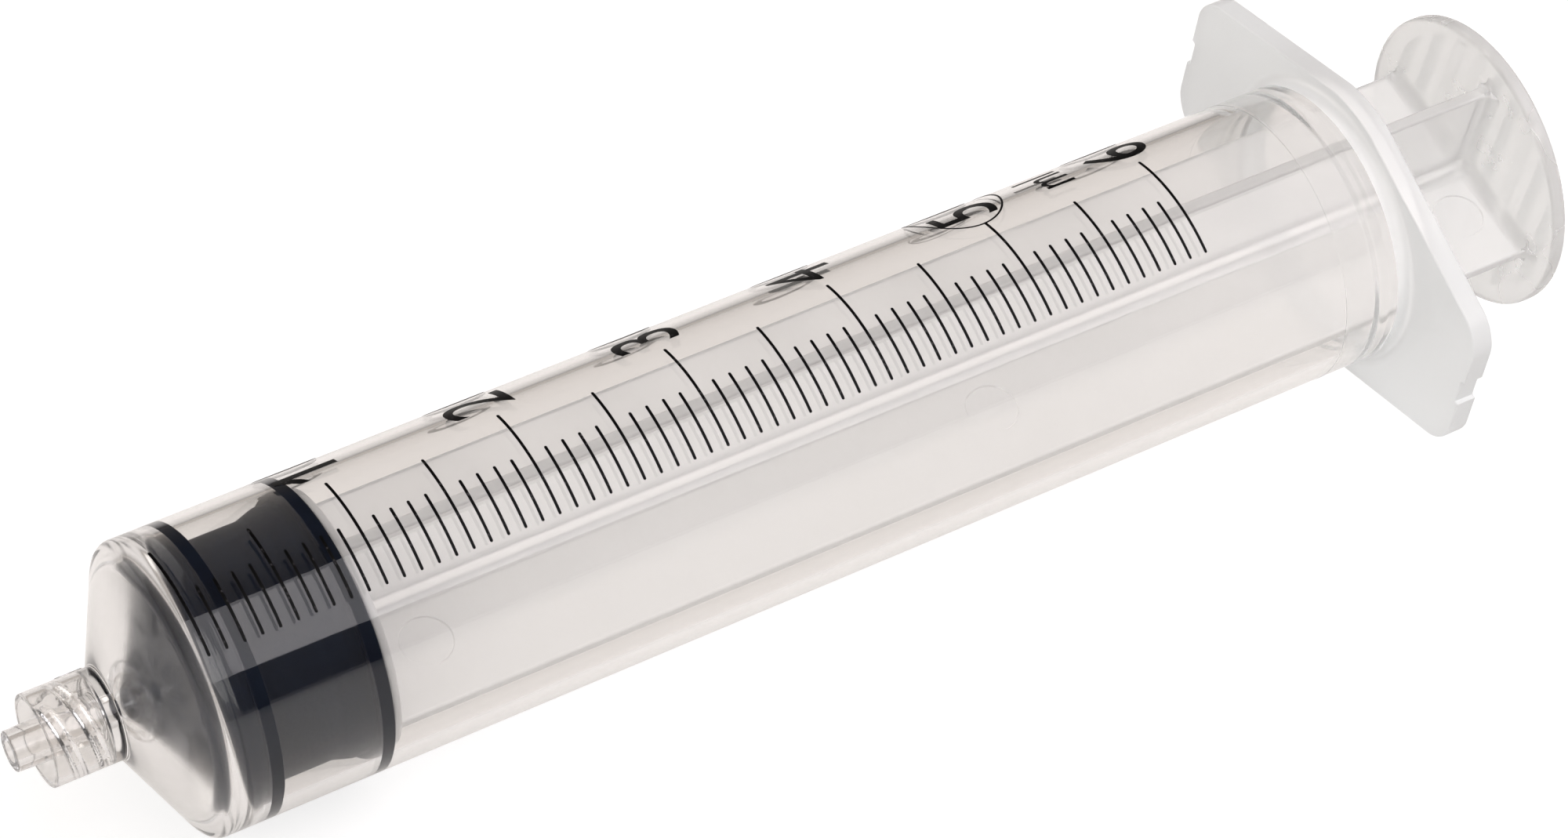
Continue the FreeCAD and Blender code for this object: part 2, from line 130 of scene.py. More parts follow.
def finishPiece(bm, name, materials, body, node=None, turn=0.0, weighted=True):
    # mesh in millimetres to a piece in metres, at the origin
    bmesh.ops.remove_doubles(bm, verts=bm.verts[:], dist=1e-4)
    bmesh.ops.recalc_face_normals(bm, faces=bm.faces[:])
    bmesh.ops.transform(bm, matrix=Matrix.Rotation(math.radians(turn), 4, "X"), verts=bm.verts[:])
    bmesh.ops.scale(bm, vec=(millimetre,) * 3, verts=bm.verts[:])
    for face in bm.faces:
        face.smooth = True
    for edge in bm.edges:
        edge.smooth = len(edge.link_faces) == 2 and edge.calc_face_angle(0) < sharpAngle
    openEdges = sum(len(edge.link_faces) != 2 for edge in bm.edges)
    mesh = bpy.data.meshes.new(name)
    bm.to_mesh(mesh)
    bm.free()
    for material in materials:
        mesh.materials.append(material)
    piece = bpy.data.objects.new(name, mesh)
    bpy.context.scene.collection.objects.link(piece)
    if weighted:
        normals = piece.modifiers.new("even shading", "WEIGHTED_NORMAL")
        normals.keep_sharp = True
        normals.weight = 80
    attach(piece, body)
    if node:
        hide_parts(node)
    print(name, len(mesh.polygons), "faces", openEdges, "open edges")


# shader groups, used by several materials

def addNode(tree, kind, inputs=None, **settings):
    node = tree.nodes.new(kind)
    for key, value in settings.items():
        setattr(node, key, value)
    for key, value in (inputs or {}).items():
        if isinstance(value, bpy.types.NodeSocket):
            tree.links.new(value, node.inputs[key])
        else:
            node.inputs[key].default_value = value
    return node


def makeGroup(name, inputs, outputs):
    group = bpy.data.node_groups.new(name, "ShaderNodeTree")
    group.interface.new_socket("Vector", in_out="INPUT", socket_type="NodeSocketVector")
    for label, value in inputs.items():
        socket = group.interface.new_socket(label, in_out="INPUT", socket_type="NodeSocketFloat")
        socket.default_value = value
    for label in outputs:
        group.interface.new_socket(label, in_out="OUTPUT", socket_type="NodeSocketFloat")
    source = group.nodes.new("NodeGroupInput").outputs
    return group, source, group.nodes.new("NodeGroupOutput").inputs


def makeMouldWaves():
    # slow swells and fine grain of a moulded wall, as a height and a mask
    group, source, target = makeGroup(
        "mouldWaves", {"Swell Size": 60.0, "Grain Size": 900.0, "Grain Share": 0.3}, ("Height", "Mask"))
    swell = addNode(group, "ShaderNodeTexNoise", {
        "Vector": source["Vector"], "Scale": source["Swell Size"], "Detail": 2.0, "Roughness": 0.4})
    grain = addNode(group, "ShaderNodeTexNoise", {
        "Vector": source["Vector"], "Scale": source["Grain Size"], "Detail": 3.0, "Roughness": 0.6})
    both = addNode(group, "ShaderNodeMix", {
        "Factor": source["Grain Share"], "A": swell.outputs["Fac"], "B": grain.outputs["Fac"]},
        data_type="FLOAT")
    mask = addNode(group, "ShaderNodeMapRange", {
        "Value": swell.outputs["Fac"], "From Min": 0.4, "From Max": 0.7})
    group.links.new(both.outputs["Result"], target["Height"])
    group.links.new(mask.outputs["Result"], target["Mask"])
    return group


def makeFineSpecks():
    # scattered dust specks in about a quarter of the cells, and rubbed marks stretched along the axis
    group, source, target = makeGroup("fineSpecks", {"Spread": 300.0, "Amount": 0.08}, ("Specks", "Rubs"))
    cells = addNode(group, "ShaderNodeTexVoronoi", {
        "Vector": source["Vector"], "Scale": source["Spread"], "Randomness": 1.0})
    spots = addNode(group, "ShaderNodeMapRange", {
        "Value": cells.outputs["Distance"], "From Min": 0.02, "From Max": source["Amount"],
        "To Min": 1.0, "To Max": 0.0})
    chance = addNode(group, "ShaderNodeSeparateColor", {"Color": cells.outputs["Color"]})
    few = addNode(group, "ShaderNodeMath", {0: chance.outputs["Red"], 1: 0.72}, operation="GREATER_THAN")
    specks = addNode(group, "ShaderNodeMath", {0: spots.outputs["Result"], 1: few.outputs["Value"]},
                     operation="MULTIPLY", use_clamp=True)
    stretch = addNode(group, "ShaderNodeMapping", {
        "Vector": source["Vector"], "Scale": (40.0, 400.0, 400.0)})
    streaks = addNode(group, "ShaderNodeTexNoise", {
        "Vector": stretch.outputs["Vector"], "Scale": 1.0, "Detail": 4.0})
    rubs = addNode(group, "ShaderNodeMapRange", {
        "Value": streaks.outputs["Fac"], "From Min": 0.62, "From Max": 0.75})
    group.links.new(specks.outputs["Value"], target["Specks"])
    group.links.new(rubs.outputs["Result"], target["Rubs"])
    return group


mouldWaves = makeMouldWaves()
fineSpecks = makeFineSpecks()
bumpDistance = 0.0002


def startMaterial(name):
    material = bpy.data.materials.new(name)
    material.use_nodes = True
    tree = material.node_tree
    tree.nodes.clear()
    vector = addNode(tree, "ShaderNodeTexCoord").outputs["Object"]
    shader = addNode(tree, "ShaderNodeBsdfPrincipled")
    output = addNode(tree, "ShaderNodeOutputMaterial", {"Surface": shader.outputs["BSDF"]})
    return material, tree, vector, shader, output


def placeGroup(tree, group, vector, labels, values):
    node = addNode(tree, "ShaderNodeGroup", node_tree=group)
    tree.links.new(vector, node.inputs["Vector"])
    for label, value in zip(labels, values):
        node.inputs[label].default_value = value
    return node.outputs


def placeWaves(tree, vector, values):
    return placeGroup(tree, mouldWaves, vector, ("Swell Size", "Grain Size", "Grain Share"), values)


def placeSpecks(tree, vector, values):
    return placeGroup(tree, fineSpecks, vector, ("Spread", "Amount"), values)


def addRange(tree, value, first, last, reach=(0.0, 1.0)):
    return addNode(tree, "ShaderNodeMapRange", {
        "Value": value, "From Min": reach[0], "From Max": reach[1],
        "To Min": first, "To Max": last}).outputs["Result"]


def addSum(tree, a, b):
    return addNode(tree, "ShaderNodeMath", {0: a, 1: b}, operation="ADD").outputs["Value"]


def addShare(tree, value, share, base):
    return addNode(tree, "ShaderNodeMath", {0: value, 1: share, 2: base},
                   operation="MULTIPLY_ADD").outputs["Value"]


def mixColours(tree, factor, first, second):
    mix = addNode(tree, "ShaderNodeMix", {0: factor}, data_type="RGBA")
    mix.inputs[6].default_value = (*first, 1.0)
    mix.inputs[7].default_value = (*second, 1.0)
    return mix.outputs[2]


def addBump(tree, shader, waves, strength):
    bump = addNode(tree, "ShaderNodeBump", {
        "Height": waves["Height"], "Strength": strength, "Distance": bumpDistance})
    tree.links.new(bump.outputs["Normal"], shader.inputs["Normal"])


def letLampsThrough(tree, shader, output, tint):
    # lamps shine on through the wall instead of being stopped by it
    path = addNode(tree, "ShaderNodeLightPath")
    clear = addNode(tree, "ShaderNodeBsdfTransparent", {"Color": (*tint, 1.0)})
    mix = addNode(tree, "ShaderNodeMixShader", {
        0: path.outputs["Is Shadow Ray"], 1: shader.outputs["BSDF"], 2: clear.outputs["BSDF"]})
    tree.links.new(mix.outputs["Shader"], output.inputs["Surface"])


def startPlastic(name, values):
    material, tree, vector, shader, output = startMaterial(name)
    shader.inputs["Base Color"].default_value = (*values["tint"], 1.0)
    shader.inputs["Transmission Weight"].default_value = values["transmission"]
    shader.inputs["IOR"].default_value = values["ior"]
    letLampsThrough(tree, shader, output, values["lampTint"])
    place = addNode(tree, "ShaderNodeSeparateXYZ", {"Vector": vector})
    return material, tree, vector, shader, place.outputs["X"]


# clear plastic, rougher beyond the seam, and a little rough in the collar and the shoulder;
# the reaches are stretches of the axis in metres over which each roughness sets in or ends
clearPlastic = {
    "tint": (0.975, 0.965, 0.955), "transmission": 0.998, "ior": 1.49, "lampTint": (0.9, 0.9, 0.895),
    "roughness": 0.03,
    "flangeRoughness": 0.13, "flangeReach": (0.1370, 0.1379),
    "collarRoughness": 0.04, "collarReach": (0.0092, 0.0102),
    "coneRoughness": 0.005, "coneReach": (0.0154, 0.0158),
    "waves": (45.0, 700.0, 0.02), "bump": 0.05, "specks": (260.0, 0.09), "rubs": 0.05, "dust": 0.05,
}

# textured skin of the flange
frostedPlastic = dict(
    clearPlastic, tint=(0.975, 0.99, 0.995), transmission=0.36, lampTint=(0.97, 0.97, 0.965),
    roughness=0.14, flangeRoughness=0.34, collarRoughness=0.0, coneRoughness=0.0)

# inner face of the shoulder
satinPlastic = dict(clearPlastic, roughness=0.11, coneRoughness=0.0)


def makeClearPlastic(name, values):
    material, tree, vector, shader, along = startPlastic(name, values)
    waves = placeWaves(tree, vector, values["waves"])
    specks = placeSpecks(tree, vector, values["specks"])
    flange = addRange(tree, along, values["roughness"], values["flangeRoughness"], values["flangeReach"])
    collar = addRange(tree, along, values["collarRoughness"], 0.0, values["collarReach"])
    cone = addRange(tree, along, values["coneRoughness"], 0.0, values["coneReach"])
    softened = addSum(tree, flange, addSum(tree, collar, cone))
    rubbed = addShare(tree, specks["Rubs"], values["rubs"], softened)
    dusty = addShare(tree, specks["Specks"], values["dust"], rubbed)
    tree.links.new(dusty, shader.inputs["Roughness"])
    addBump(tree, shader, waves, values["bump"])
    return material


milkyPlastic = {
    "tint": (0.975, 0.975, 0.97), "transmission": 0.62, "ior": 1.47, "lampTint": (0.93, 0.93, 0.93),
    "roughness": (0.12, 0.22), "discHaze": 0.12, "discReach": (0.1608, 0.162),
    "waves": (90.0, 1500.0, 0.05), "bump": 0.1, "specks": (320.0, 0.08), "rubs": 0.08,
}


def makeMilkyPlastic(values):
    material, tree, vector, shader, along = startPlastic("milkyPlastic", values)
    waves = placeWaves(tree, vector, values["waves"])
    specks = placeSpecks(tree, vector, values["specks"])
    cloudy = addRange(tree, waves["Mask"], *values["roughness"])
    disc = addRange(tree, along, 0.0, values["discHaze"], values["discReach"])
    rubbed = addShare(tree, specks["Rubs"], values["rubs"], addSum(tree, cloudy, disc))
    tree.links.new(rubbed, shader.inputs["Roughness"])
    addBump(tree, shader, waves, values["bump"])
    return material


darkRubber = {
    "colour": (0.0012, 0.0035, 0.011), "worn": (0.003, 0.007, 0.017), "roughness": 0.55, "specular": 0.06,
    "waves": (140.0, 2200.0, 0.55), "bump": 0.25, "specks": (420.0, 0.1), "dust": 0.2,
}


def makeDarkRubber(values):
    material, tree, vector, shader, output = startMaterial("darkRubber")
    waves = placeWaves(tree, vector, values["waves"])
    specks = placeSpecks(tree, vector, values["specks"])
    colour = mixColours(tree, waves["Mask"], values["colour"], values["worn"])
    tree.links.new(colour, shader.inputs["Base Color"])
    shader.inputs["Specular IOR Level"].default_value = values["specular"]
    shine = addShare(tree, specks["Specks"], values["dust"], values["roughness"])
    tree.links.new(shine, shader.inputs["Roughness"])
    addBump(tree, shader, waves, values["bump"])
    return material


blackInk = {
    "colour": (0.002, 0.0018, 0.002), "thin": (0.08, 0.075, 0.08), "roughness": (0.25, 0.5), "specular": 0.1,
    "waves": (500.0, 4000.0, 0.6), "specks": (3200.0, 0.42),
}


def makeBlackInk(values):
    material, tree, vector, shader, output = startMaterial("blackInk")
    waves = placeWaves(tree, vector, values["waves"])
    specks = placeSpecks(tree, vector, values["specks"])
    colour = mixColours(tree, specks["Specks"], values["colour"], values["thin"])
    tree.links.new(colour, shader.inputs["Base Color"])
    shader.inputs["Specular IOR Level"].default_value = values["specular"]
    shine = addRange(tree, waves["Height"], *values["roughness"])
    tree.links.new(shine, shader.inputs["Roughness"])
    return material


clearMaterial = makeClearPlastic("clearPlastic", clearPlastic)
frostedMaterial = makeClearPlastic("frostedPlastic", frostedPlastic)
satinMaterial = makeClearPlastic("satinPlastic", satinPlastic)
milkyMaterial = makeMilkyPlastic(milkyPlastic)
rubberMaterial = makeDarkRubber(darkRubber)
inkMaterial = makeBlackInk(blackInk)
print("materials made")

# barrel: tube, shoulder, luer tip, collar with its thread, flange
barrel = {
    "boreRadius": 13.35, "outerRadius": 14.65, "cornerX": 14.95, "cornerRound": 1.2,
    "tipRadius": 2.0, "tipTaper": 0.03, "tipEdge": 0.18,
    "lumenRadius": 1.05, "lumenEdge": 0.1, "lumenEnd": 11.922, "lumenRound": 0.15,
    "innerCornerX": 16.4, "innerRound": 3.0, "innerSlope": 70.0, "innerEnd": 18.6, "innerReach": 0.6,
    "collarFront": 2.62, "collarBase": 9.62, "collarRadius": 4.6, "collarRound": 0.35, "collarEdge": 0.15,
    "collarBore": 4.0, "socketX": 8.62, "socketRound": 0.3,
    "threadDepth": 0.5, "threadLead": 5.0, "threadFoot": 1.3, "threadCrest": 0.5, "threadStart": 3.62,
    "threadTurns": 0.8, "threadPhase": 0.25, "threadFade": 0.04, "threadRamp": 0.06, "threadRings": 60,
    "padFrom": 6.62, "padHalf": 1.2, "padOut": 4.75, "padRings": 26, "endMargin": 0.2,
    "seamX": 137.45, "seamHeight": 0.035, "seamSteps": (0.22, 0.08, -0.02, -0.05),
    "beadFrom": 141.26, "beadTo": 143.06, "beadRadius": 13.1, "beadFoot": 0.8, "beadRound": 1.2,
    "mouthEdge": 0.5, "mouthRound": 0.2,
    "flangeX": 144.81, "flangeBack": 147.11, "flareRound": 1.22, "flareRing": 15.9,
    "frostX": 143.7, "frostDepth": 0.1,
    "reach": 24.85, "side": 16.4, "slant": 20.15, "nickHalf": 1.6, "nickDepth": 0.5,
    "rounds": {"end": (4.0, 10), "waist": (11.0, 16), "nick": (0.15, 2)}, "rimRound": 0.38,
    "supportGap": 0.12, "longRun": 30.0, "slopedRun": 0.8, "steps": 288,
}


def threadHeight(v, x, angle):
    # height of the two starts above the root of the collar's bore
    half, crest = v["threadFoot"] / 2, v["threadCrest"] / 2
    fade = v["threadFade"]
    tallest = 0.0
    for start in (0.0, 0.5):
        along = (angle / math.tau - v["threadPhase"] - start) % 1.0
        for turn in (along, along - 1.0):
            if -fade < turn < v["threadTurns"] + fade:
                gap = abs(x - v["threadStart"] - v["threadLead"] * turn)
                height = min(1.0, max(0.0, (half - gap) / (half - crest)))
                ends = min(turn + fade, v["threadTurns"] + fade - turn) / v["threadRamp"]
                tallest = max(tallest, height * min(1.0, max(0.0, ends)))
    return v["threadDepth"] * tallest


def drawBarrel(v):
    # the section from the flange's front over the outside to the tip, and back through the bore
    tipRoot = v["tipRadius"] + v["tipTaper"] * v["socketX"]
    seam = [v["seamX"] + step for step in v["seamSteps"]]
    ridge = v["outerRadius"] + v["seamHeight"]
    return newSection([
        (v["flangeX"], v["flareRing"]),
        (v["flangeX"], v["outerRadius"], v["flareRound"], 6),
        (seam[0], v["outerRadius"]),
        (seam[1], ridge),
        (seam[2], ridge),
        (seam[3], v["outerRadius"]),
        (v["cornerX"], v["outerRadius"], v["cornerRound"], 12),
        (v["collarBase"], v["collarRadius"], v["collarRound"], 4),
        (v["collarFront"], v["collarRadius"], v["collarEdge"], 3),
        (v["collarFront"], v["collarBore"], v["collarEdge"], 3),
        (v["socketX"], v["collarBore"], v["socketRound"], 3),
        (v["socketX"], tipRoot, v["socketRound"], 3),
        (0.0, v["tipRadius"], v["tipEdge"], 4),
        (0.0, v["lumenRadius"], v["lumenEdge"], 3),
        (v["lumenEnd"], v["lumenRadius"], v["lumenRound"], 3),
        (v["innerCornerX"], v["boreRadius"], v["innerRound"], 16),
        (v["beadFrom"], v["boreRadius"], v["beadFoot"], 3),
        ((v["beadFrom"] + v["beadTo"]) / 2, v["beadRadius"], v["beadRound"], 4),
        (v["beadTo"], v["boreRadius"], v["beadFoot"], 3),
        (v["flangeBack"] - v["mouthEdge"], v["boreRadius"]),
        (v["flangeBack"], v["boreRadius"] + v["mouthEdge"], v["mouthRound"], 3),
        (v["flangeBack"], v["flareRing"]),
    ])


def raiseThread(bm, v):
    # thread on the wall of the collar, and the small pad outside it
    margin = v["endMargin"]
    for vert in bm.verts:
        radius = math.hypot(vert.co.y, vert.co.z)
        inBore = v["collarFront"] + margin < vert.co.x < v["socketX"] - margin
        atPad = v["padFrom"] < vert.co.x < v["collarBase"] - margin
        if abs(radius - v["collarBore"]) < close and inBore:
            rise = threadHeight(v, vert.co.x, math.atan2(vert.co.z, vert.co.y))
            vert.co.y *= 1 - rise / radius
            vert.co.z *= 1 - rise / radius
        elif abs(radius - v["collarRadius"]) < close and atPad:
            if abs(vert.co.z) < v["padHalf"] and vert.co.y > 0:
                vert.co.y = v["padOut"]


def drawFlange(v):
    # plate with two slanted sides and a nick in each end, open where it joins the tube
    slant = math.radians(v["slant"])
    peak = v["side"] / math.cos(slant)
    end = (v["side"] - v["reach"] * math.sin(slant)) / math.cos(slant)
    inner = v["reach"] - v["nickDepth"]
    outline = [(v["reach"], end, "end"), (0, peak, "waist"), (-v["reach"], end, "end"),
               (-v["reach"], v["nickHalf"], "nick"), (-inner, v["nickHalf"], "nick"),
               (-inner, -v["nickHalf"], "nick"), (-v["reach"], -v["nickHalf"], "nick")]
    outline += [(-y, -z, kind) for y, z, kind in outline]
    plate = bmesh.new()
    verts = [plate.verts.new((v["flangeX"], y, z)) for y, z, kind in outline]
    plate.faces.new(verts)
    for vert, (y, z, kind) in zip(verts, outline):
        roundCorner(plate, vert, *v["rounds"][kind])
    grown = pickVerts(bmesh.ops.extrude_face_region(plate, geom=plate.faces[:]))
    bmesh.ops.translate(plate, vec=(v["flangeBack"] - v["flangeX"], 0, 0), verts=grown)
    bmesh.ops.recalc_face_normals(plate, faces=plate.faces[:])
    rims = [e for e in plate.edges if abs(e.verts[0].co.x - e.verts[1].co.x) < 1e-5]
    softenEdges(plate, rims, v["rimRound"], 4)
    caps = sorted(plate.faces, key=lambda f: -f.calc_area())[:2]
    bmesh.ops.delete(plate, geom=caps, context="FACES_ONLY")
    return plate


def makeBarrel(v):
    bm = drawBarrel(v)
    bmesh.ops.subdivide_edges(bm, edges=atRadius(bm, v["collarBore"]), cuts=v["threadRings"])
    bmesh.ops.subdivide_edges(bm, edges=atRadius(bm, v["collarRadius"]), cuts=v["padRings"])
    addSupports(bm, v["supportGap"], v["longRun"], v["slopedRun"])
    turnSection(bm, v["steps"])
    raiseThread(bm, v)
    absorb(bm, drawFlange(v))
    for x in (v["flangeX"], v["flangeBack"]):
        fillPlane(bm, inPlane(bm, x))
    slope = math.tan(math.radians(v["innerSlope"]))
    for face in bm.faces:  # satin on the inner face of the shoulder, frosted outside at the flange
        centre = face.calc_center_median()
        radius = math.hypot(centre.y, centre.z)
        cone = v["lumenRadius"] + (centre.x - v["lumenEnd"]) * slope + v["innerReach"]
        if v["lumenEnd"] < centre.x < v["innerEnd"] and radius < min(v["boreRadius"] + 0.01, cone):
            face.material_index = 2
        else:
            face.material_index = centre.x > v["frostX"] and radius > v["outerRadius"] - v["frostDepth"]
    finishPiece(bm, "clearBarrel", [clearMaterial, frostedMaterial, satinMaterial],
                "barrel_body", "barrel", v["slant"])


makeBarrel(barrel)

# stopper: sloped nose, front land, two sealing ribs squeezed on the bore, pocket behind
stopper = {
    "sealRadius": 13.356, "landRadius": 12.5, "waistRadius": 11.9, "ribRound": 0.14,
    "noseX": 12.296, "noseRadius": 1.2, "frontX": 16.61, "frontRadius": 13.05, "frontRound": 2.7,
    "frontRib": (19.3, 20.75), "waistEnd": 27.35, "taperEnd": 29.15, "backRib": (30.6, 32.05),
    "pocketNeck": 6.0, "pocketBore": 8.5, "pocketLip": 29.45, "pocketFront": 23.05, "pocketNose": 3.25,
    "pocketWide": 26.05, "supportGap": 0.12, "longRun": 3.0, "steps": 160,
}


def makeStopper(v):
    front, back = v["frontRib"], v["backRib"]
    bm = newSection([
        (v["noseX"], 0.0),
        (v["noseX"], v["noseRadius"], 0.5, 4),
        (v["frontX"], v["frontRadius"], v["frontRound"], 14),
        (front[0], v["frontRadius"], 0.1, 2),
        (front[0], v["sealRadius"], v["ribRound"], 4),
        (front[1], v["sealRadius"], v["ribRound"], 4),
        (front[1], v["waistRadius"], 0.5, 4),
        (v["waistEnd"], v["waistRadius"], 1.5, 4),
        (v["taperEnd"], v["landRadius"], 1.0, 4),
        (back[0], v["landRadius"], 0.25, 3),
        (back[0], v["sealRadius"], v["ribRound"], 4),
        (back[1], v["sealRadius"], v["ribRound"], 4),
        (back[1], v["pocketNeck"], 0.3, 3),
        (v["pocketLip"], v["pocketNeck"]),
        (v["pocketLip"], v["pocketBore"]),
        (v["pocketWide"], v["pocketBore"]),
        (v["pocketFront"], v["pocketNose"]),
        (v["pocketFront"], 0.0),
    ])
    addSupports(bm, v["supportGap"], v["longRun"])
    turnSection(bm, v["steps"])
    finishPiece(bm, "rubberStopper", [rubberMaterial], "stopper_body", "stopper")


makeStopper(stopper)

# plunger: head, rim, cross blades, thumb disc with grip ridges
plunger = {
    "headFront": 23.3, "headNose": 3.0, "headWide": 26.3, "headRadius": 8.25, "headBack": 29.2,
    "neckRadius": 5.75, "rimX": 32.15, "bladeX": 33.05, "rimRadius": 12.9, "rimRound": 0.25, "rimFlat": 0.6,
    "bladeHalf": 0.65, "bladeReach": 12.4, "bladeEdge": 0.3, "rootRound": 1.5,
    "discX": 162.16, "discBack": 163.76, "discRadius": 15.5, "discEdge": 0.42, "discFlat": 1.0,
    "footRound": 1.4, "footSteps": 5, "wallShares": (0.002, 0.996, 0.002),
    "ridgeHeight": 0.4, "ridgeRound": 0.13, "ridgeWidth": 1.3, "ridgePitch": 3.1, "ridgeCount": 9,
    "ridgeRadius": 13.6,
    "markRadius": 2.65, "markDepth": 0.14, "markTaper": 0.96, "markY": -5.9,
    "markStations": (39.3, 101.4, 157.6),
    "turn": 23.25, "supportGap": 0.1, "steps": 144,
}


def growLoop(bm, loop):
    # the next loop of the cross, and the way square to the outline at each of its points
    made = bmesh.ops.extrude_edge_only(bm, edges=loop)
    edges, verts = pickEdges(made), pickVerts(made)
    ring = set(edges)
    moves = {}
    for vert in verts:
        normals = []
        for side in [e for e in vert.link_edges if e in ring]:
            along = (side.other_vert(vert).co - vert.co).normalized()
            normals.append(along.cross(Vector((1, 0, 0))))
        if normals[0].dot(normals[1]) < 0:
            normals[1] = -normals[1]
        outward = (normals[0] + normals[1]).normalized()
        moves[vert] = outward / max(0.5, outward.dot(normals[0].normalized()))
    return edges, verts, moves


def insideCross(point, v, grown):
    half, reach = v["bladeHalf"] + grown, v["bladeReach"] + grown
    root = v["rootRound"] - grown
    y, z = abs(point.y), abs(point.z)
    if (y < half and z < reach) or (z < half and y < reach):
        return True
    if y < half + root and z < half + root:
        return math.hypot(half + root - y, half + root - z) > root
    return False


def drawOutline(bm, v):
    # outline of the four blades, where they leave the rim
    half, reach = v["bladeHalf"], v["bladeReach"]
    corners = [(half, half), (half, reach), (-half, reach), (-half, half), (-reach, half), (-reach, -half),
               (-half, -half), (-half, -reach), (half, -reach), (half, -half), (reach, -half), (reach, half)]
    verts = [bm.verts.new((v["bladeX"], y, z)) for y, z in corners]
    for a, b in zip(verts, verts[1:] + verts[:1]):
        bm.edges.new((a, b))
    for vert, (y, z) in zip(verts, corners):
        root = abs(abs(y) - abs(z)) < 1e-6
        roundCorner(bm, vert, v["rootRound"] if root else v["bladeEdge"], 6 if root else 3)
    return [e for e in bm.edges if all(abs(w.co.x - v["bladeX"]) < 1e-5 for w in e.verts)]


def drawCross(v):
    cross = bmesh.new()
    loop = drawOutline(cross, v)
    straight = v["discX"] - v["footRound"] - v["bladeX"]
    for share in v["wallShares"]:  # long walls, with support loops near both ends
        loop, verts, moves = growLoop(cross, loop)
        bmesh.ops.translate(cross, vec=(straight * share, 0, 0), verts=verts)
    for step in range(1, v["footSteps"] + 1):  # rounds where the blades meet the disc
        before, now = [math.pi / 2 * s / v["footSteps"] for s in (step - 1, step)]
        loop, verts, moves = growLoop(cross, loop)
        out = v["footRound"] * (math.cos(before) - math.cos(now))
        forward = Vector((v["footRound"] * (math.sin(now) - math.sin(before)), 0, 0))
        grown = v["footRound"] * (1 - math.cos(before))
        for vert in verts:
            away = moves[vert]
            inside = insideCross(Vector((0, vert.co.y, vert.co.z)) + away * 0.01, v, grown)
            vert.co += away * (-out if inside else out) + forward
    return cross


def sinkMarks(bm, v):
    # shallow round marks of the ejector pins in the upper face of one blade
    upper = [f for f in bm.faces
             if all(abs(w.co.z - v["bladeHalf"]) < 1e-4 and w.co.y < 0 for w in f.verts)]
    wall = max(upper, key=lambda f: f.calc_area())
    edges = list(wall.edges)
    bmesh.ops.delete(bm, geom=[wall], context="FACES_ONLY")
    for x in v["markStations"]:
        place = Matrix.Translation((x, v["markY"], v["bladeHalf"]))
        verts = bmesh.ops.create_circle(bm, cap_ends=False, radius=v["markRadius"], segments=48,
                                        matrix=place)["verts"]
        rim = list(dict.fromkeys(e for w in verts for e in w.link_edges))
        edges += rim
        made = bmesh.ops.extrude_edge_only(bm, edges=rim)
        floor = pickVerts(made)
        bmesh.ops.translate(bm, vec=(0, 0, -v["markDepth"]), verts=floor)
        bmesh.ops.scale(bm, vec=(v["markTaper"], v["markTaper"], 1), space=place.inverted(), verts=floor)
        bmesh.ops.contextual_create(bm, geom=pickEdges(made))
    fillPlane(bm, edges)


def backFaces(disc, v):
    # flat back of the disc, inside the circle of the ridges
    return [f for f in disc.faces if abs(f.calc_center_median().x - v["discBack"]) < 1e-2
            and max(math.hypot(w.co.y, w.co.z) for w in f.verts) < v["ridgeRadius"] + 0.01]


def drawDisc(v):
    disc = newSection([
        (v["discX"], v["discRadius"] - v["discFlat"]),
        (v["discX"], v["discRadius"], v["discEdge"], 4),
        (v["discBack"], v["discRadius"], v["discEdge"], 4),
        (v["discBack"], v["ridgeRadius"])])
    addSupports(disc, v["supportGap"])
    turnSection(disc, v["steps"])
    rim = [e for e in inPlane(disc, v["discBack"])
           if all(math.hypot(w.co.y, w.co.z) < v["ridgeRadius"] + 0.01 for w in e.verts)]
    bmesh.ops.contextual_create(disc, geom=rim)
    half, middle = v["ridgeWidth"] / 2, (v["ridgeCount"] - 1) / 2
    for index in range(v["ridgeCount"]):
        for side in (-half, half):
            flat = backFaces(disc, v)
            parts = flat + list(dict.fromkeys(e for f in flat for e in f.edges))
            parts += list(dict.fromkeys(w for f in flat for w in f.verts))
            bmesh.ops.bisect_plane(disc, geom=parts, plane_co=(0, v["ridgePitch"] * (index - middle) + side, 0),
                                   plane_no=(0, 1, 0), dist=1e-5)
    strips = []
    for face in backFaces(disc, v):
        shift = face.calc_center_median().y / v["ridgePitch"] + middle
        if abs(shift - round(shift)) * v["ridgePitch"] < half:
            strips.append(face)
    tops = pickVerts(bmesh.ops.extrude_face_region(disc, geom=strips))
    bmesh.ops.translate(disc, vec=(v["ridgeHeight"], 0, 0), verts=tops)
    crestX = v["discBack"] + v["ridgeHeight"]
    crests = [e for e in disc.edges if all(abs(w.co.x - crestX) < close for w in e.verts)]
    softenEdges(disc, crests, v["ridgeRound"], 3)
    return disc


